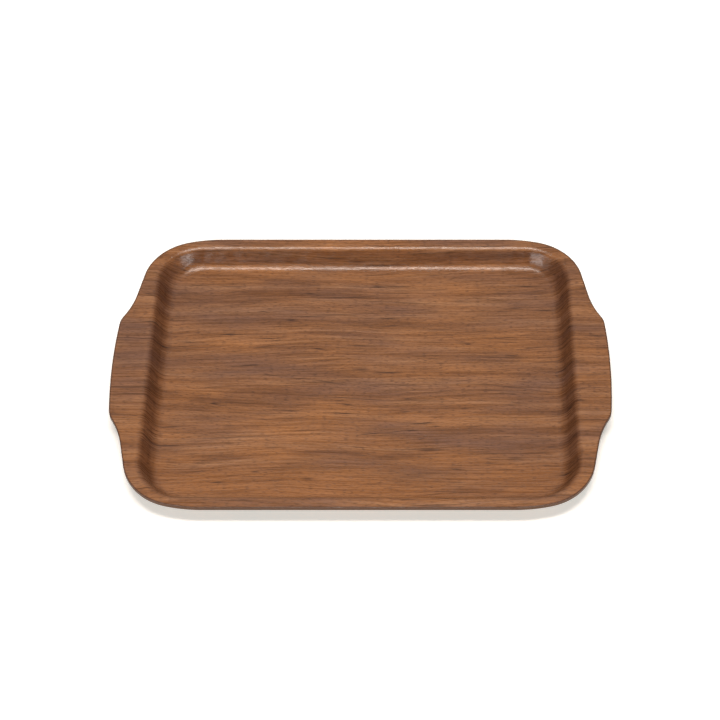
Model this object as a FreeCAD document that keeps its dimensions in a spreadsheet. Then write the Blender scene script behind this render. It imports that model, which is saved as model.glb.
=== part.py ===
import FreeCAD, Part
import math
import os
import Sketcher

# Form-pressed wooden serving tray: seven veneers glued into one moulded shell.
#
# The tray is a shallow well with sloping walls, and a flat rim around it. At both short ends the
# rim widens into a lug that serves as the handle. All veneers share one router-cut outline, and
# each follows the one above it face to face. So veneer number n is the shell between two
# surfaces that lie parallel to the tray's top face, at depths that the lay-up gives.
#
# Frame: +Z up, X along the length, Y across the width, origin in the middle of the underside,
# which is what the tray stands on. Millimetres and degrees.

SHEET = "Sizes"

# Driving dimensions: alias, value, meaning.
DIMENSIONS = [
    ("half_length", 225.0, "centre to the outermost point of a handle lug"),
    ("half_width", 156.0, "centre to the long edge"),
    ("lead_radius", 134.0, "easing arc that leads from the long edge into the corner"),
    ("lead_turn", 14.0, "turn of the easing arc"),
    ("corner_radius", 52.5, "outer corner of the rim"),
    ("shoulder_slope", 79.0, "slope of the straight shoulder to the length of the tray"),
    ("shoulder_length", 25.0, "straight stretch between the corner and the hollow"),
    ("hollow_radius", 84.0, "hollow that swings out into the lug"),
    ("hollow_turn", 20.0, "turn of the hollow"),
    ("lug_corner_radius", 20.0, "corner of the lug"),
    ("lug_corner_turn", 26.0, "turn of the lug corner"),
    ("well_half_length", 191.7, "centre to the line where wall and rim planes meet, lengthwise"),
    ("well_half_width", 144.7, "centre to the line where wall and rim planes meet, crosswise"),
    ("well_corner_radius", 40.8, "corner of that line"),
    ("well_depth", 17.0, "top of the rim down to the well floor"),
    ("wall_slope", 60.0, "slope of the well wall to the horizontal"),
    ("rim_bend_radius", 6.5, "bend from rim to wall, on the top face"),
    ("floor_bend_radius", 11.0, "bend from wall to floor, on the top face"),
    ("face_thickness", 0.6, "sliced face or back veneer"),
    ("inner_thickness", 0.56, "rotary-cut inner veneer"),
    ("arris_radius", 0.4, "sanded outer edge of the face veneer and the back veneer"),
]
VALUES = {alias: value for alias, value, _ in DIMENSIONS}

# The lay-up from the top down: node name and the alias of its thickness. The grain of
# neighbouring veneers crosses, and the lay-up is the same from both sides.
LAYUP = [
    ("face_veneer", "face_thickness"),
    ("upper_crossband", "inner_thickness"),
    ("upper_long_ply", "inner_thickness"),
    ("core_crossband", "inner_thickness"),
    ("lower_long_ply", "inner_thickness"),
    ("lower_crossband", "inner_thickness"),
    ("back_veneer", "face_thickness"),
]

# How a sketch names its elements.
START, FINISH, CENTRE = 1, 2, 3
X_AXIS = -1
ORIGIN = (-1, 1)

# An edge belongs to a plane or a boundary when it is this close to it.
TOLERANCE = 0.05


# ---- Lay-up: places worked out from the driving dimensions, and the expressions that bind them

def depth(surface):
    """Depth of a surface of the lay-up below the top face. Surface 0 is the top face itself."""
    return sum(VALUES[thickness] for _, thickness in LAYUP[:surface])


def rim_height(surface):
    """Height of a surface's rim plane above the ground."""
    return depth(len(LAYUP)) + VALUES["well_depth"] - depth(surface)


def spread(surface):
    """How much further out a surface's wall meets its rim plane than the top face's wall does."""
    return depth(surface) * math.tan(math.radians(VALUES["wall_slope"] / 2))


def length_ref(alias):
    """Expression for a length in the sheet."""
    return f"{SHEET}.{alias} * 1 mm"


def angle_ref(alias):
    """Expression for an angle in the sheet."""
    return f"{SHEET}.{alias} * 1 deg"


def depth_ref(surface):
    """Expression for depth(surface)."""
    return " + ".join(["0 mm"] + [length_ref(thickness) for _, thickness in LAYUP[:surface]])


def rim_height_ref(surface):
    """Expression for rim_height(surface)."""
    return f"{depth_ref(len(LAYUP))} + {length_ref('well_depth')} - ({depth_ref(surface)})"


def spread_ref(surface):
    """Expression for spread(surface)."""
    return f"({depth_ref(surface)}) * tan({angle_ref('wall_slope')} / 2)"


# ---- Sketches

def origin_plane(body, role):
    """One of the three planes through the body's origin."""
    return next(feature for feature in body.Origin.OriginFeatures if feature.Role == role)


def new_sketch(body, name, height):
    """An empty horizontal sketch in body, at the height that an expression gives."""
    sketch = body.newObject("Sketcher::SketchObject", name)
    sketch.AttachmentSupport = [(origin_plane(body, "XY_Plane"), "")]
    sketch.MapMode = "FlatFace"
    sketch.setExpression("AttachmentOffset.Base.z", height)
    return sketch


def bind(sketch, name, expression, *constraint):
    """Adds a dimension under a name, and binds it to an expression."""
    index = sketch.addConstraint(Sketcher.Constraint(*constraint))
    sketch.renameConstraint(index, name)
    sketch.setExpression(f"Constraints.{name}", expression)


def constrain(sketch, *constraint):
    """Adds a constraint that has no dimension."""
    sketch.addConstraint(Sketcher.Constraint(*constraint))


def arc_from(start, heading, radius, turn):
    """An arc that leaves start along heading and turns by turn, which is positive to the left.

    Returns the arc, its end point and the heading there. Angles are in radians.
    """
    side = math.copysign(1, turn)
    centre = start + FreeCAD.Vector(-math.sin(heading), math.cos(heading), 0) * radius * side
    first = heading - side * math.pi / 2
    last = first + turn
    circle = Part.Circle(centre, FreeCAD.Vector(0, 0, 1), radius)
    end = centre + FreeCAD.Vector(math.cos(last), math.sin(last), 0) * radius
    return Part.ArcOfCircle(circle, min(first, last), max(first, last)), end, heading + turn


def rim_chain(lead_x):
    """A quarter of the outline, from the middle of the long edge round the corner to the lug.

    The easing arc starts at lead_x. Returns the pieces, and the end point, in the middle of the
    lug's edge.
    """
    size = VALUES
    lead_turn = math.radians(size["lead_turn"])
    shoulder_slope = math.radians(size["shoulder_slope"])
    hollow_turn = math.radians(size["hollow_turn"])
    lug_corner_turn = math.radians(size["lug_corner_turn"])
    point = FreeCAD.Vector(lead_x, size["half_width"], 0)
    long_edge = Part.LineSegment(FreeCAD.Vector(0, size["half_width"], 0), point)
    lead, point, heading = arc_from(point, 0.0, size["lead_radius"], -lead_turn)
    corner, point, heading = arc_from(point, heading, size["corner_radius"], lead_turn - shoulder_slope)
    shoulder_start = point
    point = point + FreeCAD.Vector(math.cos(heading), math.sin(heading), 0) * size["shoulder_length"]
    shoulder = Part.LineSegment(shoulder_start, point)
    hollow, point, heading = arc_from(point, heading, size["hollow_radius"], hollow_turn)
    lug_corner, point, heading = arc_from(point, heading, size["lug_corner_radius"], -lug_corner_turn)
    # The lug's edge is an arc about a point on the X axis, so it arrives there square.
    lug, point, heading = arc_from(point, heading, point.y / math.cos(heading), -math.pi / 2 - heading)
    return [long_edge, lead, corner, shoulder, hollow, lug_corner, lug], point


def draw_rim_quarter(body, height):
    """The router-cut outline's quarter with both X and Y positive, closed along the axes."""
    sketch = new_sketch(body, "RimQuarter", height)
    trial_x = VALUES["well_half_length"] - VALUES["well_corner_radius"]
    _, trial_end = rim_chain(trial_x)
    pieces, end = rim_chain(trial_x + VALUES["half_length"] - trial_end.x)
    centre = FreeCAD.Vector(0, 0, 0)
    pieces.append(Part.LineSegment(end, centre))
    pieces.append(Part.LineSegment(centre, FreeCAD.Vector(0, VALUES["half_width"], 0)))
    long_edge, lead, corner, shoulder, hollow, lug_corner, lug, along_x, along_y = (
        sketch.addGeometry(piece, False) for piece in pieces
    )

    # Arcs run anticlockwise, so the outline enters one that turns right at its finish.
    constrain(sketch, "Tangent", long_edge, FINISH, lead, FINISH)
    constrain(sketch, "Tangent", lead, START, corner, FINISH)
    constrain(sketch, "Tangent", corner, START, shoulder, START)
    constrain(sketch, "Tangent", shoulder, FINISH, hollow, START)
    constrain(sketch, "Tangent", hollow, FINISH, lug_corner, FINISH)
    constrain(sketch, "Tangent", lug_corner, START, lug, FINISH)
    constrain(sketch, "Coincident", lug, START, along_x, START)
    constrain(sketch, "Coincident", along_x, FINISH, along_y, START)
    constrain(sketch, "Coincident", along_y, FINISH, long_edge, START)
    constrain(sketch, "Coincident", along_x, FINISH, *ORIGIN)
    constrain(sketch, "Horizontal", long_edge)
    constrain(sketch, "Horizontal", along_x)
    constrain(sketch, "Vertical", along_y)
    constrain(sketch, "PointOnObject", lug, CENTRE, X_AXIS)

    bind(sketch, "HalfWidth", length_ref("half_width"),
         "DistanceY", *ORIGIN, long_edge, START, VALUES["half_width"])
    bind(sketch, "HalfLength", length_ref("half_length"),
         "DistanceX", *ORIGIN, lug, START, VALUES["half_length"])
    bind(sketch, "ShoulderLength", length_ref("shoulder_length"),
         "Distance", shoulder, VALUES["shoulder_length"])
    bind(sketch, "ShoulderSlope", "-" + angle_ref("shoulder_slope"),
         "Angle", shoulder, -math.radians(VALUES["shoulder_slope"]))
    for name, arc, alias in (
        ("LeadRadius", lead, "lead_radius"),
        ("CornerRadius", corner, "corner_radius"),
        ("HollowRadius", hollow, "hollow_radius"),
        ("LugCornerRadius", lug_corner, "lug_corner_radius"),
    ):
        bind(sketch, name, length_ref(alias), "Radius", arc, VALUES[alias])
    for name, arc, alias in (
        ("LeadTurn", lead, "lead_turn"),
        ("HollowTurn", hollow, "hollow_turn"),
        ("LugCornerTurn", lug_corner, "lug_corner_turn"),
    ):
        bind(sketch, name, angle_ref(alias), "Angle", arc, math.radians(VALUES[alias]))
    return sketch


def draw_well(body, name, surface):
    """The rounded rectangle in which a surface's wall meets its rim plane, at that plane."""
    sketch = new_sketch(body, name, rim_height_ref(surface))
    half_x = VALUES["well_half_length"] + spread(surface)
    half_y = VALUES["well_half_width"] + spread(surface)
    radius = VALUES["well_corner_radius"] + spread(surface)
    corner_x = half_x - radius
    corner_y = half_y - radius

    def line(x0, y0, x1, y1):
        segment = Part.LineSegment(FreeCAD.Vector(x0, y0, 0), FreeCAD.Vector(x1, y1, 0))
        return sketch.addGeometry(segment, False)

    def quarter_circle(x, y, first):
        circle = Part.Circle(FreeCAD.Vector(x, y, 0), FreeCAD.Vector(0, 0, 1), radius)
        return sketch.addGeometry(Part.ArcOfCircle(circle, first, first + math.pi / 2), False)

    # Anticlockwise, each side followed by the corner it runs into.
    sides = [
        line(half_x, -corner_y, half_x, corner_y),
        line(corner_x, half_y, -corner_x, half_y),
        line(-half_x, corner_y, -half_x, -corner_y),
        line(-corner_x, -half_y, corner_x, -half_y),
    ]
    corners = [
        quarter_circle(corner_x, corner_y, 0.0),
        quarter_circle(-corner_x, corner_y, math.pi / 2),
        quarter_circle(-corner_x, -corner_y, math.pi),
        quarter_circle(corner_x, -corner_y, math.pi * 3 / 2),
    ]
    for side, corner, next_side in zip(sides, corners, sides[1:] + sides[:1]):
        constrain(sketch, "Tangent", side, FINISH, corner, START)
        constrain(sketch, "Tangent", corner, FINISH, next_side, START)
    for side, direction in zip(sides, ("Vertical", "Horizontal") * 2):
        constrain(sketch, direction, side)
    for corner in corners[1:]:
        constrain(sketch, "Equal", corners[0], corner)
    constrain(sketch, "Symmetric", sides[0], START, sides[2], START, *ORIGIN)

    growth = spread_ref(surface)
    bind(sketch, "HalfLength", f"{length_ref('well_half_length')} + {growth}",
         "DistanceX", *ORIGIN, sides[0], START, half_x)
    bind(sketch, "HalfWidth", f"{length_ref('well_half_width')} + {growth}",
         "DistanceY", *ORIGIN, sides[1], START, half_y)
    bind(sketch, "CornerRadius", f"{length_ref('well_corner_radius')} + {growth}",
         "Radius", corners[0], radius)
    return sketch


# ---- Features

def check_volume(feature, before, grows):
    """Stops the macro if a feature didn't add or remove material as it should."""
    added = feature.Shape.Volume - before.Shape.Volume
    if added == 0 or (added > 0) != grows:
        raise RuntimeError(f"{feature.Label} changed the volume by {added:.2f}")


def pad_rim(body, top):
    """The flat rim plate: a quarter of it is padded, and mirrored both ways."""
    quarter = body.newObject("PartDesign::Pad", "RimQuarterPad")
    quarter.Profile = draw_rim_quarter(body, rim_height_ref(top))
    quarter.Reversed = True
    quarter.setExpression("Length", length_ref(LAYUP[top][1]))
    body.Document.recompute()
    rim = body.newObject("PartDesign::MultiTransform", "Rim")
    rim.Originals = [quarter]
    mirrors = []
    for name, role in (("MirrorEnds", "YZ_Plane"), ("MirrorSides", "XZ_Plane")):
        mirror = body.newObject("PartDesign::Mirrored", name)
        mirror.MirrorPlane = (origin_plane(body, role), [""])
        mirrors.append(mirror)
    rim.Transformations = mirrors
    body.Tip = rim
    body.Document.recompute()
    check_volume(rim, quarter, grows=True)
    return rim


def mould_well(body, rim, top, bottom):
    """The well with sharp bends: a tapered boss under the rim, hollowed by a tapered pocket."""
    taper = f"{angle_ref('wall_slope')} - 90 deg"
    boss = body.newObject("PartDesign::Pad", "WellBoss")
    boss.Profile = draw_well(body, "WellUnderside", bottom)
    boss.Reversed = True
    hollow = body.newObject("PartDesign::Pocket", "WellHollow")
    hollow.Profile = draw_well(body, "WellTopFace", top)
    for feature, before, grows in ((boss, rim, True), (hollow, boss, False)):
        feature.setExpression("Length", length_ref("well_depth"))
        feature.setExpression("TaperAngle", taper)
        body.Tip = feature
        body.Document.recompute()
        check_volume(feature, before, grows)
    return hollow


def flat_edges(shape, height, belongs):
    """Names of the edges that lie flat at a height and whose reach in X and Y belongs."""
    names = []
    for number, edge in enumerate(shape.Edges, start=1):
        box = edge.BoundBox
        reach_x = max(-box.XMin, box.XMax)
        reach_y = max(-box.YMin, box.YMax)
        is_flat = max(abs(box.ZMin - height), abs(box.ZMax - height)) < TOLERANCE
        if is_flat and belongs(reach_x, reach_y):
            names.append(f"Edge{number}")
    return names


def well_edges(shape, height, surface):
    """The loop in which a surface's wall meets its rim plane or its floor."""
    limit_x = VALUES["well_half_length"] + spread(surface) + TOLERANCE
    limit_y = VALUES["well_half_width"] + spread(surface) + TOLERANCE
    return flat_edges(shape, height, lambda x, y: x < limit_x and y < limit_y)


def outline_edges(shape, height):
    """The router-cut outline at a height."""
    limit_x = VALUES["well_half_length"] + spread(len(LAYUP)) + TOLERANCE
    limit_y = VALUES["half_width"] - TOLERANCE
    return flat_edges(shape, height, lambda x, y: x > limit_x or y > limit_y)


def fillet(body, name, before, edges, radius):
    """A fillet of the named edges, with the radius that an expression gives."""
    feature = body.newObject("PartDesign::Fillet", name)
    feature.Base = (before, edges)
    feature.setExpression("Radius", radius)
    body.Tip = feature
    body.Document.recompute()
    return feature


def round_bends(body, sharp, top, bottom):
    """Rounds the two bends on both faces of the veneer, so that its thickness stays even.

    The two inside corners come first, because an outside corner that is rounded before its
    inside corner is filled would break through the thin shell.
    """
    well_depth = VALUES["well_depth"]
    floor_radius = length_ref("floor_bend_radius")
    rim_radius = length_ref("rim_bend_radius")
    bends = (
        ("FloorBendInside", top, rim_height(top) - well_depth, f"{floor_radius} + ({depth_ref(top)})", True),
        ("RimBendInside", bottom, rim_height(bottom), f"{rim_radius} - ({depth_ref(bottom)})", True),
        ("FloorBendOutside", bottom, rim_height(bottom) - well_depth,
         f"{floor_radius} + ({depth_ref(bottom)})", False),
        ("RimBendOutside", top, rim_height(top), f"{rim_radius} - ({depth_ref(top)})", False),
    )
    feature = sharp
    for name, surface, height, radius, grows in bends:
        before = feature
        feature = fillet(body, name, before, well_edges(before.Shape, height, surface), radius)
        check_volume(feature, before, grows)
    return feature


def make_veneer(doc, top):
    """The veneer between surfaces top and top + 1 of the lay-up."""
    bottom = top + 1
    label = LAYUP[top][0]
    body = doc.addObject("PartDesign::Body", label)
    body.Label = label
    rim = pad_rim(body, top)
    feature = round_bends(body, mould_well(body, rim, top, bottom), top, bottom)
    # Only the tray's outermost edges, top and bottom, are sanded round.
    for surface, is_outermost in ((top, top == 0), (bottom, bottom == len(LAYUP))):
        if is_outermost:
            before = feature
            edges = outline_edges(before.Shape, rim_height(surface))
            feature = fillet(body, "Arris", before, edges, length_ref("arris_radius"))
            check_volume(feature, before, grows=False)
    return body


# ---- Document

def make_sheet(doc):
    """The spreadsheet with the driving dimensions."""
    sheet = doc.addObject("Spreadsheet::Sheet", SHEET)
    for row, (alias, value, meaning) in enumerate(DIMENSIONS, start=1):
        sheet.set(f"A{row}", alias)
        sheet.set(f"B{row}", str(value))
        sheet.set(f"C{row}", meaning)
        sheet.setAlias(f"B{row}", alias)
    doc.recompute()


def check_document(doc, bodies):
    """Stops the macro if an object failed, or a veneer isn't one valid solid."""
    for item in doc.Objects:
        if "Invalid" in item.State or "Error" in item.State:
            raise RuntimeError(f"{item.Label} is {item.State}")
        if item.isDerivedFrom("Sketcher::SketchObject") and not item.FullyConstrained:
            raise RuntimeError(f"{item.Label} isn't fully constrained")
    for body in bodies:
        if body.Shape.isNull() or not body.Shape.isValid() or len(body.Shape.Solids) != 1:
            raise RuntimeError(f"{body.Label} isn't one valid solid")


def main():
    """Builds the document and writes one STEP file for each veneer."""
    doc = FreeCAD.newDocument("ServingTray")
    make_sheet(doc)
    bodies = [make_veneer(doc, top) for top in range(len(LAYUP))]
    doc.recompute()
    check_document(doc, bodies)
    os.makedirs("parts", exist_ok=True)
    for body in bodies:
        body.Shape.exportStep(os.path.join("parts", f"{body.Label}.step"))
        box = body.Shape.optimalBoundingBox(False)
        print(f"{body.Label}: {body.Shape.Volume / 1000:.2f} cm3, "
              f"{box.XLength:.2f} x {box.YLength:.2f} mm, Z {box.ZMin:.2f} to {box.ZMax:.2f} mm")


main()
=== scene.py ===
import logging
import math
import random
from dataclasses import dataclass, field
from enum import Enum
from typing import Callable, Iterable, Mapping, Sequence

import bmesh
import bpy
import numpy as np
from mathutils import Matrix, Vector


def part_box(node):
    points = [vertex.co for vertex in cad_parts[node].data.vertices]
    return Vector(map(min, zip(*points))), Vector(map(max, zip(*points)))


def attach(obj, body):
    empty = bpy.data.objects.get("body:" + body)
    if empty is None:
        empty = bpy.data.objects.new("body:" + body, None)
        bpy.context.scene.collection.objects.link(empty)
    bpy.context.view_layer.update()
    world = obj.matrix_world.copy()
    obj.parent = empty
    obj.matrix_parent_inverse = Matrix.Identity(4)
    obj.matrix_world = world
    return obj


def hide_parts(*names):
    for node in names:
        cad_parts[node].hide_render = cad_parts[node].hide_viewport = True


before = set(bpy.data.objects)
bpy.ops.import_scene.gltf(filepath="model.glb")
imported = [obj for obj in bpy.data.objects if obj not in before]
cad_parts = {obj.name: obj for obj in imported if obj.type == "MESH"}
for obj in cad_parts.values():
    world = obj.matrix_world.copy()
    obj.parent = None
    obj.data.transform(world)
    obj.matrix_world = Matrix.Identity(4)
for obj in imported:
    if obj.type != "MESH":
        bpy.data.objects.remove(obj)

# A serving tray, form-pressed from seven veneers: a shallow well with sloping walls, a flat rim
# around it, and a lug at each short end. The two outer veneers are sliced teak under a satin
# lacquer. They are modelled here, because their grain follows the pressing and their bends are a
# little wrinkled. The five inner veneers are the CAD nodes, and show only their cut edges.

LOG = logging.getLogger("serving_tray")

Colour = tuple[float, float, float, float]
MM = 0.001

# Two places in a mesh are the same when they are this close, in metres. A reach of zero may come
# out as large as the second.
NEAR = 1e-6
TINY = 1e-9

# Sockets of a Map Range node, and of a Mix node that mixes colours.
VALUE, FROM_LOW, FROM_HIGH, TO_LOW, TO_HIGH = range(5)
SHARE, COLOUR_A, COLOUR_B = 0, 6, 7
MIXED_COLOUR = 2
WHITE = (1.0, 1.0, 1.0, 1.0)


class PlyGrain(Enum):
    """Which way the grain of an inner veneer runs."""

    ALONG = "along"
    ACROSS = "across"


# ---- Node and mesh helpers


def linear(hex_colour: str) -> Colour:
    """Turns an sRGB hex colour into linear light.

    Args:
        hex_colour: six hex digits, with or without a leading #.

    Returns:
        Linear red, green and blue, and an alpha of 1.
    """
    digits = hex_colour.lstrip("#")
    channels = [int(digits[i : i + 2], 16) / 255 for i in (0, 2, 4)]
    red, green, blue = (c / 12.92 if c <= 0.04045 else ((c + 0.055) / 1.055) ** 2.4 for c in channels)
    return red, green, blue, 1.0


def add_node(
    tree: bpy.types.NodeTree,
    kind: str,
    inputs: Mapping[int | str, object],
    **settings: object,
) -> bpy.types.Node:
    """Adds a node with its settings and links.

    Args:
        tree: the node tree of the material.
        kind: the node's type without its ShaderNode prefix.
        inputs: socket name or number to a value, or to the output socket to link.
        **settings: properties of the node itself.

    Returns:
        The new node.
    """
    node = tree.nodes.new("ShaderNode" + kind)
    for name, value in settings.items():
        setattr(node, name, value)
    for key, value in inputs.items():
        if isinstance(value, bpy.types.NodeSocket):
            tree.links.new(value, node.inputs[key])
        else:
            node.inputs[key].default_value = value
    return node


def new_material(name: str) -> tuple[bpy.types.Material, bpy.types.NodeTree]:
    """Makes a material with an empty node tree.

    Args:
        name: the material's name.

    Returns:
        The material and its node tree.
    """
    material = bpy.data.materials.new(name)
    material.use_nodes = True
    material.node_tree.nodes.clear()
    return material, material.node_tree


def select_in_mesh(piece: bpy.types.Object, mode: str, belongs: Callable[[object], bool]) -> int:
    """Selects edges or faces of a piece by their place, and leaves it in edit mode.

    Args:
        piece: the active object.
        mode: EDGE or FACE.
        belongs: says of a bmesh edge or face whether it is selected.

    Returns:
        How many are selected.
    """
    bpy.ops.object.mode_set(mode="EDIT")
    bpy.ops.mesh.select_mode(type=mode)
    bpy.ops.mesh.select_all(action="DESELECT")
    mesh = bmesh.from_edit_mesh(piece.data)
    elements = mesh.edges if mode == "EDGE" else mesh.faces
    chosen = [element for element in elements if belongs(element)]
    for element in chosen:
        element.select_set(True)
    mesh.select_flush_mode()
    bmesh.update_edit_mesh(piece.data)
    return len(chosen)


def apply_modifier(piece: bpy.types.Object, name: str, kind: str, **settings: object) -> None:
    """Adds a modifier to the active object and applies it.

    Args:
        piece: the active object, in object mode.
        name: the modifier's name.
        kind: the modifier's type.
        **settings: properties of the modifier.
    """
    modifier = piece.modifiers.new(name, kind)
    for key, value in settings.items():
        setattr(modifier, key, value)
    bpy.ops.object.modifier_apply(modifier=name)


# ---- The press form


@dataclass(frozen=True)
class PressForm:
    """The shape that every veneer is pressed and cut to, in metres and radians.

    The well is a rounded rectangle. Its size is given where the plane of the wall meets the
    plane of the rim on the tray's top face.
    """

    half_length: float
    half_width: float
    rim_height: float
    floor_height: float
    well_half_length: float = 191.7 * MM
    well_half_width: float = 144.7 * MM
    well_corner_radius: float = 40.8 * MM
    wall_slope: float = math.radians(60)
    rim_bend_radius: float = 6.5 * MM
    floor_bend_radius: float = 11 * MM
    lead_radius: float = 134 * MM
    lead_turn: float = math.radians(14)
    corner_radius: float = 52.5 * MM
    shoulder_slope: float = math.radians(79)
    shoulder_length: float = 25 * MM
    hollow_radius: float = 84 * MM
    hollow_turn: float = math.radians(20)
    lug_corner_radius: float = 20 * MM
    lug_corner_turn: float = math.radians(26)
    bend_steps: int = 9
    wall_steps: int = 4

    @property
    def bend_setback(self) -> float:
        """Plan distance from the bend's start to the line where the two planes meet."""
        return self.rim_bend_radius * math.tan(self.wall_slope / 2)

    @property
    def start_half_length(self) -> float:
        """Half the length of the loop where the bend starts, which all veneers share."""
        return self.well_half_length + self.bend_setback

    @property
    def start_half_width(self) -> float:
        """Half the width of that loop."""
        return self.well_half_width + self.bend_setback

    @property
    def start_radius(self) -> float:
        """Corner radius of that loop."""
        return self.well_corner_radius + self.bend_setback

    @property
    def corner_centre(self) -> tuple[float, float]:
        """Where the corner of every loop of the well has its centre, in the first quadrant."""
        return self.start_half_length - self.start_radius, self.start_half_width - self.start_radius

    def profile(self, depth: float) -> list[tuple[float, float]]:
        """The well's section on a surface at a depth below the top face.

        Args:
            depth: distance below the top face, along the thickness.

        Returns:
            Steps from the bend's start down to the floor, each (run inwards, drop).
        """
        slope = self.wall_slope
        upper = self.rim_bend_radius - depth
        lower = self.floor_bend_radius + depth
        well_depth = self.rim_height - self.floor_height
        wall_drop = well_depth - (upper + lower) * (1 - math.cos(slope))
        turns = [slope * i / self.bend_steps for i in range(self.bend_steps + 1)]
        steps = [
            (upper * (math.sin(b) - math.sin(a)), upper * (math.cos(a) - math.cos(b)))
            for a, b in zip(turns, turns[1:])
        ]
        wall_step = wall_drop / self.wall_steps
        steps += [(wall_step / math.tan(slope), wall_step)] * self.wall_steps
        steps += [
            (lower * (math.sin(b) - math.sin(a)), lower * (math.cos(a) - math.cos(b)))
            for b, a in zip(turns[::-1], turns[-2::-1])
        ]
        return steps

    def rim_quarter(self) -> np.ndarray:
        """The router-cut outline from the long edge to the lug, in the first quadrant.

        Returns:
            Points close together, in order. The last is the middle of the lug's edge.
        """
        arcs = [
            (self.lead_radius, -self.lead_turn),
            (self.corner_radius, self.lead_turn - self.shoulder_slope),
            (math.inf, self.shoulder_length),
            (self.hollow_radius, self.hollow_turn),
            (self.lug_corner_radius, -self.lug_corner_turn),
        ]
        heading = 0.0
        points = [np.array([0.0, self.half_width])]
        for radius, turn in arcs:
            if math.isinf(radius):
                points.append(points[-1] + turn * np.array([math.cos(heading), math.sin(heading)]))
            else:
                points += arc_points(points[-1], heading, radius, turn)
                heading += turn
        lug_radius = points[-1][1] / math.cos(heading)
        points += arc_points(points[-1], heading, lug_radius, -math.pi / 2 - heading)
        outline = np.array(points)
        outline[:, 0] += self.half_length - outline[-1, 0]
        return np.vstack([[0.0, self.half_width], outline])

    def well_frame(self, points: np.ndarray) -> tuple[np.ndarray, np.ndarray]:
        """Where points lie in plan, seen from the loop at which the bend starts.

        Args:
            points: plan positions, one per row.

        Returns:
            Each point's distance outwards from the loop, and the outward direction there.
        """
        centre = np.array(self.corner_centre)
        beyond = np.abs(points[:, :2]) - centre
        corner = np.maximum(beyond, 0.0)
        reach = np.hypot(corner[:, 0], corner[:, 1])
        inside = reach < TINY
        sideways = beyond[:, 0] - beyond[:, 1] > 0
        outwards = np.where(inside[:, None], np.stack([sideways, ~sideways], 1), corner)
        outwards = outwards / np.linalg.norm(outwards, axis=1)[:, None] * np.sign(points[:, :2] + TINY)
        distance = np.where(inside, beyond.max(1), reach) - self.start_radius
        return distance, outwards

    def rim_width(self, points: np.ndarray) -> np.ndarray:
        """Distance from the loop to the cut outline, on the ray through each point.

        In a corner the ray leaves the corner's centre; elsewhere it is square to a side.

        Args:
            points: plan positions, one per row.

        Returns:
            One distance per point.
        """
        centre = np.array(self.corner_centre)
        _, outwards = self.well_frame(points)
        folded = np.abs(points[:, :2])
        outline = self.rim_quarter()
        beyond = outline - centre
        in_corner = beyond[(beyond > 0).all(1)][::-1]
        angle = np.arctan2(np.abs(outwards[:, 1]), np.abs(outwards[:, 0]))
        bearing = np.arctan2(in_corner[:, 1], in_corner[:, 0])
        reach = np.hypot(in_corner[:, 0], in_corner[:, 1])
        corner = np.interp(angle, bearing, reach) - self.start_radius
        end = np.interp(folded[:, 1], outline[::-1, 1], outline[::-1, 0]) - self.start_half_length
        side = np.interp(folded[:, 0], outline[:, 0], outline[:, 1]) - self.start_half_width
        faces_end = (folded[:, 1] <= centre[1] + NEAR) & (np.abs(outwards[:, 0]) > 0.5)
        faces_side = (folded[:, 0] <= centre[0] + NEAR) & (np.abs(outwards[:, 1]) > 0.5)
        return np.where(faces_side, side, np.where(faces_end, end, corner))


def arc_points(start: np.ndarray, heading: float, radius: float, turn: float) -> list[np.ndarray]:
    """Points on an arc that leaves start along heading, without start itself.

    Args:
        start: the arc's first point.
        heading: direction at the start, in radians.
        radius: the arc's radius.
        turn: how much it turns, positive to the left.

    Returns:
        Points half a degree apart.
    """
    side = math.copysign(1, turn)
    centre = start + side * radius * np.array([-math.sin(heading), math.cos(heading)])
    count = max(8, round(abs(math.degrees(turn)) * 2))
    angles = heading - side * math.pi / 2 + turn * np.arange(1, count + 1) / count
    return [centre + radius * np.array([math.cos(a), math.sin(a)]) for a in angles]


# ---- Pressed veneers


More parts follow.
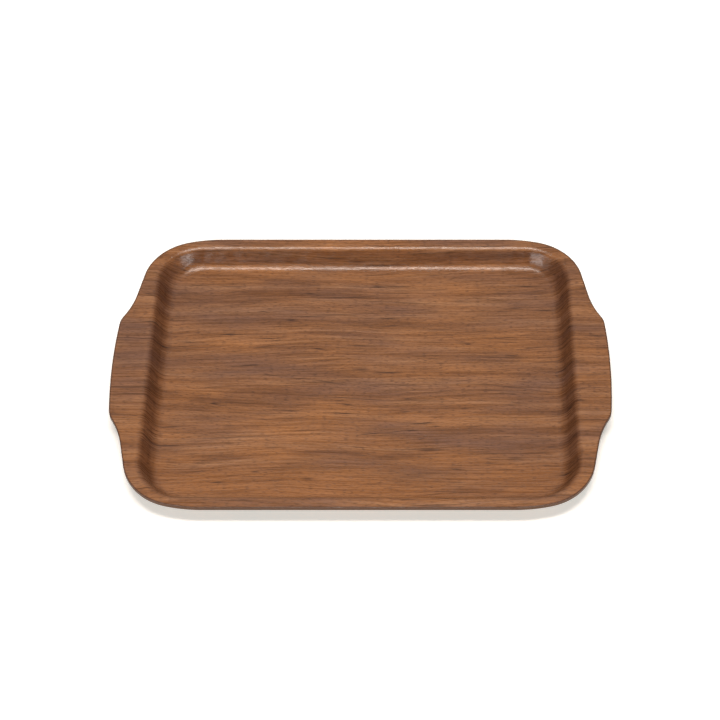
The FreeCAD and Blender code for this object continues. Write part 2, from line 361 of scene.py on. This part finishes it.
@dataclass
class PressedVeneer:
    """An outer veneer, pressed into the tray's shape, cut along the rim and sanded.

    depth is how far its upper face lies below the tray's top face.
    """

    name: str
    node: str
    slot: str
    form: PressForm
    depth: float
    thickness: float
    arris_on_top: bool
    arris_radius: float = 0.4 * MM
    wrinkle_height: float = 0.36 * MM
    wrinkle_length: float = 9 * MM
    side_cuts: int = 120
    corner_steps: int = 28
    hold: float = 0.5 * MM
    floor_ring: float = 4 * MM
    stain_start: float = 1.5 * MM
    stain_full: float = 0.5 * MM
    arris_fold: float = math.radians(60)
    smooth_angle: float = math.radians(40)
    piece: bpy.types.Object = field(init=False)

    @property
    def rim_height(self) -> float:
        """Height of the rim on this veneer's upper face."""
        return self.form.rim_height - self.depth

    def build(self, finish: "LacqueredTeak") -> bpy.types.Object:
        """Models the veneer, lays its grain, dresses it and ties it to the tray.

        Args:
            finish: the veneer's finish.

        Returns:
            The finished piece.
        """
        self.start_loop()
        self.press_well()
        self.spread_rim()
        self.wrinkle_bends()
        self.give_thickness()
        self.sand_arris()
        self.lay_grain()
        self.piece.data.materials.append(finish.material())
        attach(self.piece, "root")
        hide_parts(self.node)
        return self.piece

    def start_loop(self) -> None:
        """Starts from a plate the size of the loop where the bend starts, with round corners."""
        form = self.form
        bpy.ops.object.select_all(action="DESELECT")
        bpy.ops.mesh.primitive_plane_add(size=2, location=(0, 0, self.rim_height))
        self.piece = bpy.context.object
        self.piece.name = self.name
        bpy.ops.object.mode_set(mode="EDIT")
        bpy.ops.mesh.select_all(action="SELECT")
        bpy.ops.transform.resize(value=(form.start_half_length, form.start_half_width, 1))
        bpy.ops.mesh.bevel(
            affect="VERTICES",
            offset=form.start_radius,
            segments=self.corner_steps,
            profile=0.5,
            clamp_overlap=False,
        )
        # All four straight sides are cut at once: a face with only two cut edges would be split.
        select_in_mesh(self.piece, "EDGE", lambda edge: edge.calc_length() > form.start_radius)
        bpy.ops.mesh.subdivide(number_cuts=self.side_cuts)
        bpy.ops.object.mode_set(mode="OBJECT")
        bpy.ops.object.transform_apply(location=True, rotation=True, scale=True)

    def press_well(self) -> None:
        """Insets the plate down the section of the well, with two holding rings on the floor."""
        select_in_mesh(self.piece, "FACE", lambda face: True)
        holding_rings = [(self.hold, 0.0), (self.floor_ring, 0.0)]
        for run, drop in self.form.profile(self.depth) + holding_rings:
            bpy.ops.mesh.inset(thickness=run, depth=-drop, use_even_offset=True)
        bpy.ops.object.mode_set(mode="OBJECT")

    @property
    def rim_rings(self) -> tuple[tuple[float, float], ...]:
        """The rim's rings, each a share of the way from the well out, and metres further out."""
        return (
            (0.0, self.hold),
            (0.33, 0.0),
            (0.67, 0.0),
            (1.0, -3 * self.hold),
            (1.0, -2 * self.hold),
            (1.0, 0.0),
        )

    def spread_rim(self) -> None:
        """Extrudes the loop outwards in rings, the last of which lies on the cut outline."""
        for share, further in self.rim_rings:
            select_in_mesh(self.piece, "EDGE", lambda edge: edge.is_boundary)
            bpy.ops.mesh.extrude_edges_move()
            mesh = bmesh.from_edit_mesh(self.piece.data)
            loop = [vertex for vertex in mesh.verts if vertex.select]
            self.move_to_ring(loop, share, further)
            bmesh.update_edit_mesh(self.piece.data)
        bpy.ops.object.mode_set(mode="OBJECT")

    def move_to_ring(self, loop: Sequence[bmesh.types.BMVert], share: float, further: float) -> None:
        """Moves a loop outwards to a ring of the rim.

        Args:
            loop: the vertices to move, each on its own ray out of the well.
            share: how far out the ring lies, 0 at the well and 1 at the outline.
            further: metres out from there.
        """
        points = np.array([vertex.co for vertex in loop])
        distance, outwards = self.form.well_frame(points)
        travel = self.form.rim_width(points) * share + further - distance
        for vertex, place in zip(loop, points[:, :2] + outwards * travel[:, None]):
            vertex.co.x, vertex.co.y = place

    def wrinkle_bends(self) -> None:
        """Gives the bends the slight waviness that a veneer takes where it is pressed round."""
        form = self.form
        group = self.piece.vertex_groups.new(name="bends")
        total_run = sum(run for run, _ in form.profile(self.depth))
        points = np.array([vertex.co for vertex in self.piece.data.vertices])
        distance, _ = form.well_frame(points)
        share = np.clip(-distance / total_run, 0.0, 1.0)
        weight = np.sin(share * math.pi) ** 0.5 * ((share > 0) & (share < 1))
        for vertex, amount in zip(self.piece.data.vertices, weight):
            group.add([vertex.index], float(amount), "REPLACE")
        texture = bpy.data.textures.new(self.name + "_wrinkles", "CLOUDS")
        texture.noise_scale = self.wrinkle_length
        texture.noise_depth = 1
        apply_modifier(
            self.piece,
            "wrinkles",
            "DISPLACE",
            texture=texture,
            texture_coords="LOCAL",
            vertex_group="bends",
            strength=2 * self.wrinkle_height,
            mid_level=0.5,
        )

    def give_thickness(self) -> None:
        """Thickens the pressed sheet downwards to the veneer's thickness."""
        apply_modifier(
            self.piece,
            "thickness",
            "SOLIDIFY",
            thickness=self.thickness,
            offset=-1,
            use_even_offset=True,
        )

    def sand_arris(self) -> None:
        """Rounds the outermost edge of the tray, and smooths the shading."""
        height = self.rim_height if self.arris_on_top else self.rim_height - self.thickness
        tolerance = 0.05 * MM

        def is_arris(edge: bmesh.types.BMEdge) -> bool:
            """Whether an edge is a sharp one at the arris's height."""
            flat = all(abs(vertex.co.z - height) < tolerance for vertex in edge.verts)
            return flat and len(edge.link_faces) == 2 and edge.calc_face_angle() > self.arris_fold

        select_in_mesh(self.piece, "EDGE", is_arris)
        bpy.ops.mesh.bevel(offset=self.arris_radius, segments=3, profile=0.5, clamp_overlap=False)
        bpy.ops.object.mode_set(mode="OBJECT")
        bpy.ops.object.shade_smooth_by_angle(angle=self.smooth_angle)

    def lay_grain(self) -> None:
        """Writes the veneer's flat pattern as a UV map, and the slopes of its walls, from which the
        material paints shade.

        The pattern is the veneer unrolled. What the bends take in is pulled from outside, so
        beyond the floor it lies further out than the plan, square to the well's edge. The UV map
        is in metres. Two attributes hold the sine of the surface's slope along the grain and across
        it; the material paints shade on the walls from them. On the flat rim both are 0. edge_stain is
        1 on the cut edge.
        """
        mesh = self.piece.data
        steps = self.form.profile(self.depth)
        runs = np.cumsum([0.0] + [run for run, _ in reversed(steps)])
        lengths = np.cumsum([0.0] + [math.hypot(run, drop) for run, drop in reversed(steps)])
        points = np.array([vertex.co for vertex in mesh.vertices])
        distance, outwards = self.form.well_frame(points)
        taken_in = np.interp(distance + runs[-1], runs, lengths - runs)
        flat = points[:, :2] + outwards * taken_in[:, None]
        grain = mesh.uv_layers.new(name="grain")
        corners = np.array([loop.vertex_index for loop in mesh.loops])
        grain.data.foreach_set("uv", flat[corners].astype(np.float32).ravel())
        normals = np.array([vertex.normal for vertex in mesh.vertices])
        on_rim = distance > 0
        write_attribute(mesh, "slope_along_grain", np.where(on_rim, 0.0, np.abs(normals[:, 0])))
        write_attribute(mesh, "slope_across_grain", np.where(on_rim, 0.0, np.abs(normals[:, 1])))
        to_edge = self.form.rim_width(points) - distance
        stain = (self.stain_start - to_edge) / (self.stain_start - self.stain_full)
        write_attribute(mesh, "edge_stain", np.clip(stain, 0.0, 1.0))


def write_attribute(mesh: bpy.types.Mesh, name: str, values: np.ndarray) -> None:
    """Writes one number per vertex as an attribute of the mesh."""
    attribute = mesh.attributes.new(name, "FLOAT", "POINT")
    attribute.data.foreach_set("value", values.astype(np.float32))


# ---- Finishes


@dataclass(frozen=True)
class GrainNoise:
    """A noise that is stretched along the grain. One wave of it is along by across millimetres."""

    along: float
    across: float
    detail: float
    roughness: float

    def lay(self, tree: bpy.types.NodeTree, place: bpy.types.NodeSocket) -> bpy.types.NodeSocket:
        """Adds the noise to a material.

        Args:
            tree: the node tree.
            place: pattern coordinates in millimetres.

        Returns:
            The noise, from 0 to 1 and mostly near 0.5.
        """
        scale = (1 / self.along, 1 / self.across, 1)
        waves = add_node(tree, "Mapping", {0: place, "Scale": scale}).outputs[0]
        return add_node(
            tree,
            "TexNoise",
            {"Vector": waves, "Scale": 1, "Detail": self.detail, "Roughness": self.roughness},
        ).outputs[0]


@dataclass(frozen=True)
class GrainMark:
    """A dark line, fleck or cloud in the figure: millimetres and degrees on the flat veneer."""

    x: float
    y: float
    length: float
    width: float
    strength: float
    slope: float = 0.0


@dataclass(frozen=True)
class BoldFigure:
    """The bold growth lines and flecks of a face veneer, which fall by chance.

    Lengths and widths are in millimetres. Short flecks are commoner than long lines, and a long
    line is the thinner of the two. Slopes are in degrees from the veneer's length.
    """

    count: int = 64
    seed: int = 11
    shortest: float = 12
    longest: float = 150
    widest: float = 4.6
    thinnest: float = 1.3
    faintest: float = 0.4
    darkest: float = 0.8
    slope_spread: float = 3.0

    def scatter(self, half_length: float, half_width: float) -> tuple[GrainMark, ...]:
        """Scatters the marks over a veneer, one in each of as many strips across its width.

        Args:
            half_length: half the veneer's length, in millimetres.
            half_width: half its width, in millimetres.

        Returns:
            The marks, from the front edge to the back.
        """
        draw = random.Random(self.seed)
        strip = 2 * half_width / self.count
        marks = []
        for place in range(self.count):
            share = draw.random()
            length = self.shortest * (self.longest / self.shortest) ** share
            width = draw.uniform(self.thinnest, self.widest + (self.thinnest - self.widest) * share)
            marks.append(
                GrainMark(
                    x=draw.uniform(-half_length, half_length),
                    y=strip * (place + draw.random()) - half_width,
                    length=length,
                    width=width,
                    strength=draw.uniform(self.faintest, self.darkest),
                    slope=draw.gauss(0, self.slope_spread),
                )
            )
        return tuple(marks)


# Broad clouds, partly the figure's own colour and partly painted light: strength above zero is
# darker and greyer, below zero warmer. The sheet is greyer towards the back and the left end,
# and warmer along the front. The warmer, lighter front and the darker back are painted light,
# for the floor of the well being lit more brightly at the front.
FACE_CLOUDS_AND_PAINTED_LIGHT = (
    GrainMark(-40, 80, 320, 50, 0.5),
    GrainMark(-60, 0, 300, 50, 0.4),
    GrainMark(80, -70, 220, 30, 0.5, -4),
    GrainMark(-215, 20, 60, 110, 0.8),
    GrainMark(-110, -100, 200, 40, -0.5),
    GrainMark(0, -125, 420, 40, -1.1),
)


@dataclass(frozen=True)
class LacqueredTeak:
    """Sliced teak veneer under a satin clear lacquer.

    Teak is straight-grained with wandering growth lines, open pores that show as fine dark
    dashes, and brown, grey-brown and orange zones. The lacquer follows the pores.
    """

    # To the eye: warm brown with long dark lines, and a soft gloss that breaks into streaks along
    # the grain and runs along the bends as a thin bright line.

    name: str
    marks: tuple[GrainMark, ...] = ()
    clouds: tuple[GrainMark, ...] = ()
    pattern_shift: float = 0.0
    dark_brown: str = "#6C4526"
    mid_brown: str = "#875C3A"
    light_brown: str = "#966C4A"
    grey_brown: str = "#71513F"
    orange_brown: str = "#9E6A3C"
    line_brown: str = "#382217"
    edge_brown: str = "#4A2C1A"
    dark_streak: Colour = (0.66, 0.59, 0.43, 1)
    light_streak: Colour = (1.30, 1.37, 1.56, 1)
    # Painted shade: gains that darken the walls that slope along and across the grain.
    painted_shade_along_grain: Colour = (0.48, 0.43, 0.46, 1)
    painted_shade_across_grain: Colour = (0.54, 0.43, 0.27, 1)
    wall_sine: float = 0.87
    painted_shade_across_start: float = 0.62
    roughness: float = 0.27
    lacquer_ior: float = 1.46
    drift: GrainNoise = GrainNoise(250, 83.3, 2, 0.4)
    drift_reach: float = 14
    ripple: GrainNoise = GrainNoise(25, 10, 2, 0.5)
    ripple_reach: float = 0.6
    bands: GrainNoise = GrainNoise(250, 11.8, 4, 0.6)
    zones: GrainNoise = GrainNoise(111, 28.6, 3, 0.55)
    cloud_depth: float = 0.22
    rings: GrainNoise = GrainNoise(286, 10, 2, 0.45)
    ring_step: float = 0.075
    ring_width: float = 0.014
    patches: GrainNoise = GrainNoise(55.6, 4.55, 2, 0.5)
    bundles: GrainNoise = GrainNoise(77, 2.22, 3, 0.85)
    pore_dashes: GrainNoise = GrainNoise(5, 0.667, 1, 0.5)
    sheet_waves: GrainNoise = GrainNoise(20, 9.1, 2, 0.5)

    def material(self) -> bpy.types.Material:
        """Builds the material.

        Returns:
            The material, which reads the piece's grain UV map, the slopes from which it paints shade,
            and the stain attribute.
        """
        material, tree = new_material(self.name)
        sheet = add_node(tree, "UVMap", {}, uv_map="grain").outputs[0]
        # From here on the pattern's coordinates are millimetres on the flat veneer.
        flat = add_node(
            tree,
            "Mapping",
            {0: sheet, "Location": (self.pattern_shift, 0, 0), "Scale": (1 / MM, 1 / MM, 1 / MM)},
        ).outputs[0]
        wandering = self.wander(tree, flat)
        # Fibre bundles are streaks about 80 mm long and 2 mm wide, with finer ones within them.
        streaks = self.bundles.lay(tree, wandering)
        pores = self.pores(tree, wandering)
        lines = self.growth_lines(tree, wandering, streaks)
        colour = self.ground_colour(tree, flat, wandering)
        colour = self.draw_figure(tree, colour, lines, streaks, pores)
        # Painted shade on the walls, from their slope along and across the grain.
        colour = self.paint_wall_shade(tree, colour)
        rough = add_node(
            tree,
            "MapRange",
            {
                VALUE: streaks,
                FROM_LOW: 0.25,
                FROM_HIGH: 0.75,
                TO_LOW: self.roughness - 0.07,
                TO_HIGH: self.roughness + 0.09,
            },
        ).outputs[0]
        shader = add_node(
            tree,
            "BsdfPrincipled",
            {
                "Base Color": colour,
                "Roughness": rough,
                "Normal": self.relief(tree, streaks, pores, flat),
                "IOR": self.lacquer_ior,
            },
        )
        add_node(tree, "OutputMaterial", {0: shader.outputs[0]})
        return material

    def wander(self, tree: bpy.types.NodeTree, flat: bpy.types.NodeSocket) -> bpy.types.NodeSocket:
        """Bends the pattern so that its lines wander sideways over their length.

        Args:
            tree: the node tree.
            flat: pattern coordinates in millimetres.

        Returns:
            The bent coordinates, in millimetres.
        """
        shift = 0.0
        for noise, reach in ((self.drift, self.drift_reach), (self.ripple, self.ripple_reach)):
            way = add_node(
                tree,
                "MapRange",
                {VALUE: noise.lay(tree, flat), TO_LOW: -reach, TO_HIGH: reach},
                clamp=False,
            ).outputs[0]
            shift = add_node(tree, "Math", {0: way, 1: shift}, operation="ADD").outputs[0]
        sideways = add_node(tree, "CombineXYZ", {1: shift}).outputs[0]
        return add_node(tree, "VectorMath", {0: flat, 1: sideways}, operation="ADD").outputs[0]

    def pores(self, tree: bpy.types.NodeTree, wandering: bpy.types.NodeSocket) -> bpy.types.NodeSocket:
        """Open pores, cut along their length into dashes.

        Real pores are about 0.2 mm wide. The dashes are a little wider, so that they show.

        Args:
            tree: the node tree.
            wandering: bent pattern coordinates in millimetres.

        Returns:
            1 in a pore, 0 between pores.
        """
        return add_node(
            tree,
            "MapRange",
            {VALUE: self.pore_dashes.lay(tree, wandering), FROM_LOW: 0.52, FROM_HIGH: 0.66},
            interpolation_type="SMOOTHSTEP",
        ).outputs[0]

    def growth_lines(
        self,
        tree: bpy.types.NodeTree,
        wandering: bpy.types.NodeSocket,
        streaks: bpy.types.NodeSocket,
    ) -> bpy.types.NodeSocket:
        """Thin dark lines: level lines of a stretched noise, which fade in and out, and marks.

        Args:
            tree: the node tree.
            wandering: bent pattern coordinates in millimetres.
            streaks: fibre bundles, which break the lines up.

        Returns:
            How dark the lines are, 0 to about 1.
        """
        folded = add_node(
            tree,
            "Math",
            {0: self.rings.lay(tree, wandering), 1: self.ring_step},
            operation="PINGPONG",
        ).outputs[0]
        ridge = add_node(
            tree,
            "MapRange",
            {VALUE: folded, FROM_LOW: self.ring_width, FROM_HIGH: 0.0},
            interpolation_type="SMOOTHSTEP",
        ).outputs[0]
        presence = add_node(
            tree,
            "MapRange",
            {
                VALUE: self.patches.lay(tree, wandering),
                FROM_LOW: 0.42,
                FROM_HIGH: 0.60,
                TO_HIGH: 0.9,
            },
        ).outputs[0]
        natural = add_node(tree, "Math", {0: ridge, 1: presence}, operation="MULTIPLY").outputs[0]
        lines = self.add_marks(tree, wandering, self.marks, natural, 1.0)
        broken = add_node(
            tree,
            "MapRange",
            {VALUE: streaks, FROM_LOW: 0.42, FROM_HIGH: 0.6, TO_LOW: 1.3, TO_HIGH: 0.5},
        ).outputs[0]
        return add_node(tree, "Math", {0: lines, 1: broken}, operation="MULTIPLY").outputs[0]

    def add_marks(
        self,
        tree: bpy.types.NodeTree,
        flat: bpy.types.NodeSocket,
        marks: Iterable[GrainMark],
        total: bpy.types.NodeSocket,
        scale: float,
    ) -> bpy.types.NodeSocket:
        """Adds marks to a field, each a long soft ellipse along the grain.

        Args:
            tree: the node tree.
            flat: pattern coordinates in millimetres.
            marks: the marks to add.
            total: the field they are added to.
            scale: what a strength of 1 adds.

        Returns:
            The sum.
        """
        # A mark fades to nothing at its rim, so the ellipse is larger than the mark looks.
        for mark in marks:
            local = add_node(
                tree,
                "Mapping",
                {
                    0: flat,
                    "Location": (mark.x, mark.y, 0),
                    "Rotation": (0, 0, math.radians(mark.slope)),
                    "Scale": (mark.length * 0.6, mark.width * 0.8, 1),
                },
                vector_type="TEXTURE",
            ).outputs[0]
            radius = add_node(tree, "VectorMath", {0: local}, operation="LENGTH").outputs["Value"]
            shade = add_node(
                tree,
                "MapRange",
                {VALUE: radius, FROM_LOW: 1, FROM_HIGH: 0, TO_HIGH: mark.strength * scale},
                interpolation_type="SMOOTHSTEP",
            ).outputs[0]
            total = add_node(tree, "Math", {0: total, 1: shade}, operation="ADD").outputs[0]
        return total

    def ground_colour(
        self,
        tree: bpy.types.NodeTree,
        flat: bpy.types.NodeSocket,
        wandering: bpy.types.NodeSocket,
    ) -> bpy.types.NodeSocket:
        """The wood's colour without its lines: early and late wood, and greyer and warmer zones.

        Args:
            tree: the node tree.
            flat: pattern coordinates in millimetres, in which the zones lie.
            wandering: bent pattern coordinates, in which the bands lie.

        Returns:
            The colour.
        """
        ramp = add_node(tree, "ValToRGB", {0: self.bands.lay(tree, wandering)})
        stops = ramp.color_ramp.elements
        stops[0].position, stops[0].color = 0.335, linear(self.dark_brown)
        stops[1].position, stops[1].color = 0.665, linear(self.light_brown)
        stops.new(0.5).color = linear(self.mid_brown)
        colour = ramp.outputs[0]
        zones = self.zones.lay(tree, flat)
        zones = self.add_marks(tree, flat, self.clouds, zones, self.cloud_depth)
        for brown, full, most in ((self.grey_brown, 0.71, 0.75), (self.orange_brown, 0.31, 0.72)):
            share = add_node(
                tree, "MapRange", {VALUE: zones, FROM_LOW: 0.5, FROM_HIGH: full, TO_HIGH: most}
            ).outputs[0]
            colour = add_node(
                tree,
                "Mix",
                {SHARE: share, COLOUR_A: colour, COLOUR_B: linear(brown)},
                data_type="RGBA",
            ).outputs[MIXED_COLOUR]
        return colour

    def draw_figure(
        self,
        tree: bpy.types.NodeTree,
        colour: bpy.types.NodeSocket,
        lines: bpy.types.NodeSocket,
        streaks: bpy.types.NodeSocket,
        pores: bpy.types.NodeSocket,
    ) -> bpy.types.NodeSocket:
        """Draws streaks, pores and growth lines into the wood's colour.

        Args:
            tree: the node tree.
            colour: the ground colour.
            lines: strength of the dark lines.
            streaks: fibre bundles.
            pores: 1 in a pore.

        Returns:
            The colour.
        """
        # Dark streaks keep their red longer than their blue, as heartwood does.
        lightness = add_node(
            tree, "MapRange", {VALUE: streaks, FROM_LOW: 0.3, FROM_HIGH: 0.7}
        ).outputs[0]
        gain = add_node(
            tree,
            "Mix",
            {SHARE: lightness, COLOUR_A: self.dark_streak, COLOUR_B: self.light_streak},
            data_type="RGBA",
            clamp_result=False,
        ).outputs[MIXED_COLOUR]
        colour = add_node(tree, "VectorMath", {0: colour, 1: gain}, operation="MULTIPLY").outputs[0]
        in_pore = add_node(tree, "Math", {0: pores, 1: 0.5}, operation="MULTIPLY").outputs[0]
        in_line = add_node(tree, "MapRange", {VALUE: lines, TO_HIGH: 0.9}).outputs[0]
        dark = add_node(tree, "Math", {0: in_pore, 1: in_line}, operation="MAXIMUM").outputs[0]
        return add_node(
            tree,
            "Mix",
            {SHARE: dark, COLOUR_A: colour, COLOUR_B: linear(self.line_brown)},
            data_type="RGBA",
        ).outputs[MIXED_COLOUR]

    def paint_wall_shade(
        self, tree: bpy.types.NodeTree, colour: bpy.types.NodeSocket
    ) -> bpy.types.NodeSocket:
        """Paints shade into the colour on the well's walls, and stains the cut edge.

        This is painted shade. Walls whose fibres run down a slope are darkened, as such fibres send
        less light back than fibres that lie level. Walls that slope across the grain are painted
        darker and warmer, as less light falls on them.

        Args:
            tree: the node tree.
            colour: the colour on the level.

        Returns:
            The colour everywhere.
        """
        # Painted shade: each slope darkens the colour towards its gain.
        for name, start, factor in (
            ("slope_along_grain", 0.0, self.painted_shade_along_grain),
            ("slope_across_grain", self.painted_shade_across_start, self.painted_shade_across_grain),
        ):
            slope = add_node(tree, "Attribute", {}, attribute_name=name).outputs["Fac"]
            share = add_node(
                tree, "MapRange", {VALUE: slope, FROM_LOW: start, FROM_HIGH: self.wall_sine}
            ).outputs[0]
            gain = add_node(
                tree,
                "Mix",
                {SHARE: share, COLOUR_A: WHITE, COLOUR_B: factor},
                data_type="RGBA",
            ).outputs[MIXED_COLOUR]
            colour = add_node(
                tree, "VectorMath", {0: colour, 1: gain}, operation="MULTIPLY"
            ).outputs[0]
        stain = add_node(tree, "Attribute", {}, attribute_name="edge_stain").outputs["Fac"]
        return add_node(
            tree,
            "Mix",
            {SHARE: stain, COLOUR_A: colour, COLOUR_B: linear(self.edge_brown)},
            data_type="RGBA",
        ).outputs[MIXED_COLOUR]

    def relief(
        self,
        tree: bpy.types.NodeTree,
        streaks: bpy.types.NodeSocket,
        pores: bpy.types.NodeSocket,
        flat: bpy.types.NodeSocket,
    ) -> bpy.types.NodeSocket:
        """The lacquer's relief over streaks and pores, and a slight waviness of the sheet.

        Args:
            tree: the node tree.
            streaks: fibre bundles, which stand up.
            pores: 1 in a pore, which sinks.
            flat: pattern coordinates in millimetres.

        Returns:
            The normal.
        """
        height = add_node(
            tree, "Math", {0: pores, 1: -0.6, 2: streaks}, operation="MULTIPLY_ADD"
        ).outputs[0]
        fine = add_node(
            tree, "Bump", {"Strength": 0.35, "Distance": 0.2 * MM, "Height": height}
        ).outputs[0]
        waves = self.sheet_waves.lay(tree, flat)
        return add_node(
            tree, "Bump", {"Strength": 0.3, "Distance": 0.5 * MM, "Height": waves, "Normal": fine}
        ).outputs[0]


@dataclass(frozen=True)
class StainedPlyEdge:
    """The cut edge of an inner veneer, sanded and stained dark with the rim.

    An edge across the grain shows open fibre ends and drinks more stain than an edge along it.
    The bundles are drawn coarser than real ones, which are about 0.1 mm thick, so that they show.
    """

    # To the eye: a thin dull dark-brown line, a little lighter in the plies that run lengthwise.

    name: str
    grain: PlyGrain
    light: str
    dark: str
    roughness: float = 0.55
    bundle_length: float = 30.3 * MM
    bundle_width: float = 1.11 * MM
    bundle_thickness: float = 0.385 * MM

    def material(self) -> bpy.types.Material:
        """Builds the material.

        Returns:
            The material, which reads Object coordinates.
        """
        material, tree = new_material(self.name)
        place = add_node(tree, "TexCoord", {}).outputs["Object"]
        size = (self.bundle_length, self.bundle_width, self.bundle_thickness)
        if self.grain is PlyGrain.ACROSS:
            size = (self.bundle_width, self.bundle_length, self.bundle_thickness)
        scale = tuple(1 / length for length in size)
        fibres = add_node(tree, "Mapping", {0: place, "Scale": scale}).outputs[0]
        noise = add_node(
            tree, "TexNoise", {"Vector": fibres, "Scale": 1, "Detail": 4, "Roughness": 0.6}
        ).outputs[0]
        colour = add_node(
            tree,
            "Mix",
            {SHARE: noise, COLOUR_A: linear(self.dark), COLOUR_B: linear(self.light)},
            data_type="RGBA",
        ).outputs[MIXED_COLOUR]
        bump = add_node(
            tree, "Bump", {"Strength": 0.3, "Distance": 0.05 * MM, "Height": noise}
        ).outputs[0]
        shader = add_node(
            tree,
            "BsdfPrincipled",
            {
                "Base Color": colour,
                "Roughness": self.roughness,
                "Specular IOR Level": 0.25,
                "Normal": bump,
            },
        )
        add_node(tree, "OutputMaterial", {0: shader.outputs[0]})
        return material


@dataclass(frozen=True)
class LightTable:
    """White acrylic light table, matt, lit a little from below."""

    # To the eye: an even white ground, on which shadows stay pale.

    white: str = "#F4F4F4"
    roughness: float = 0.9
    glow_colour: str = "#FAFFF6"
    glow: float = 0.35

    def material(self) -> bpy.types.Material:
        """Builds the material.

        Returns:
            The material, the same all over.
        """
        material, tree = new_material("light_table_acrylic")
        shader = add_node(
            tree,
            "BsdfPrincipled",
            {
                "Base Color": linear(self.white),
                "Roughness": self.roughness,
                "Specular IOR Level": 0.2,
                "Emission Color": linear(self.glow_colour),
                "Emission Strength": self.glow,
            },
        )
        add_node(tree, "OutputMaterial", {0: shader.outputs[0]})
        return material


# ---- The tray


@dataclass
class Tray:
    """The whole tray: two modelled outer veneers around five inner ones."""

    form: PressForm
    face_thickness: float
    back_depth: float
    back_thickness: float

    @classmethod
    def from_frame(cls) -> "Tray":
        """Reads the tray's main sizes from the CAD nodes.

        Returns:
            The tray.
        """
        face_low, face_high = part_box("face_veneer")
        back_low, back_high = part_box("back_veneer")
        face_thickness = face_high.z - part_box("upper_crossband")[1].z
        form = PressForm(
            half_length=face_high.x,
            half_width=face_high.y,
            rim_height=face_high.z,
            floor_height=face_low.z + face_thickness,
        )
        back_depth = face_high.z - back_high.z
        back_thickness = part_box("lower_crossband")[0].z - back_low.z
        return cls(form, face_thickness, back_depth, back_thickness)

    def build(self) -> None:
        """Builds the outer veneers and dresses the inner ones."""
        face = PressedVeneer(
            name="teak_face",
            node="face_veneer",
            slot="face_veneer",
            form=self.form,
            depth=0.0,
            thickness=self.face_thickness,
            arris_on_top=True,
        )
        figure = BoldFigure().scatter(self.form.half_length / MM, self.form.half_width / MM)
        report(face.build(LacqueredTeak("lacquered_teak_face", figure, FACE_CLOUDS_AND_PAINTED_LIGHT)))
        back = PressedVeneer(
            name="teak_back",
            node="back_veneer",
            slot="back_veneer",
            form=self.form,
            depth=self.back_depth,
            thickness=self.back_thickness,
            arris_on_top=False,
        )
        report(back.build(LacqueredTeak("lacquered_teak_back", pattern_shift=700)))
        self.dress_inner_veneers()

    def dress_inner_veneers(self) -> None:
        """Gives the inner veneers their stained edges."""
        crossband_edge = StainedPlyEdge("stained_crossband_edge", PlyGrain.ACROSS, "#55361F", "#352012")
        long_ply_edge = StainedPlyEdge("stained_long_ply_edge", PlyGrain.ALONG, "#644428", "#452C19")
        crossband = crossband_edge.material()
        long_ply = long_ply_edge.material()
        inner = {
            "upper_crossband": crossband,
            "upper_long_ply": long_ply,
            "core_crossband": crossband,
            "lower_long_ply": long_ply,
            "lower_crossband": crossband,
        }
        for node, material in inner.items():
            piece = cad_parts[node]
            piece.data.materials.clear()
            piece.data.materials.append(material)
            report(piece)


def report(piece: bpy.types.Object) -> None:
    """Logs a piece's name and the size of its mesh."""
    LOG.info("%s: %d faces", piece.name, len(piece.data.polygons))


# ---- Studio


@dataclass(frozen=True)
class SoftLight:
    """A rectangular soft box that faces the tray's origin."""

    name: str
    place: tuple[float, float, float]
    size: tuple[float, float]
    power: float
    colour: str = "#FFFFFF"

    def build(self) -> None:
        """Adds the light."""
        lamp = bpy.data.lights.new(self.name, "AREA")
        lamp.shape = "RECTANGLE"
        lamp.size, lamp.size_y = self.size
        lamp.energy = self.power
        lamp.color = linear(self.colour)[:3]
        holder = bpy.data.objects.new(self.name, lamp)
        holder.location = self.place
        holder.rotation_euler = Vector(self.place).to_track_quat("Z", "Y").to_euler()
        bpy.context.scene.collection.objects.link(holder)


@dataclass(frozen=True)
class Studio:
    """A light table, soft lights, a dim white surround and the camera, in metres and degrees."""

    lights: tuple[SoftLight, ...]
    surround: float = 0.15
    camera_side: float = 0.0467
    camera_distance: float = 1.144
    camera_height: float = 1.394
    camera_pitch: float = 50.45
    lens: float = 99.95
    shift: float = -0.0736
    table_half_size: float = 6.0

    def build(self, rim_height: float) -> None:
        """Builds the studio.

        Args:
            rim_height: height of the tray's rim, above which the camera's height is counted.
        """
        bpy.ops.object.select_all(action="DESELECT")
        bpy.ops.mesh.primitive_plane_add(size=2 * self.table_half_size, location=(0, 0, 0))
        table = bpy.context.object
        table.name = "light_table"
        table.data.materials.append(LightTable().material())
        for light in self.lights:
            light.build()
        world = bpy.data.worlds.new("surround")
        world.use_nodes = True
        background = world.node_tree.nodes["Background"]
        background.inputs["Color"].default_value = WHITE
        background.inputs["Strength"].default_value = self.surround
        bpy.context.scene.world = world
        bpy.context.scene.view_settings.view_transform = "Standard"
        lens = bpy.data.cameras.new("camera")
        lens.lens = self.lens
        lens.shift_x = self.shift
        camera = bpy.data.objects.new("camera", lens)
        camera.location = (self.camera_side, -self.camera_distance, self.camera_height + rim_height)
        camera.rotation_euler = (math.radians(90 - self.camera_pitch), 0, 0)
        bpy.context.scene.collection.objects.link(camera)
        bpy.context.scene.camera = camera


STUDIO_LIGHTS = (
    SoftLight("overhead", (0.0, -0.2, 2.2), (1.2, 0.5), 46, "#FFF0E6"),
    SoftLight("backdrop", (0.0, 2.95, 2.06), (3.2, 3.2), 11.5),
    SoftLight("front_left", (-1.2, -1.72, 0.5), (1.4, 0.42), 19),
    SoftLight("front_right", (1.2, -1.72, 0.5), (1.4, 0.42), 19),
)


def main() -> None:
    """Builds the tray and the studio."""
    logging.basicConfig(level=logging.INFO, format="%(message)s")
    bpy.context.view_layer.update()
    tray = Tray.from_frame()
    tray.build()
    Studio(STUDIO_LIGHTS).build(tray.form.rim_height)


if __name__ == "__main__":
    main()
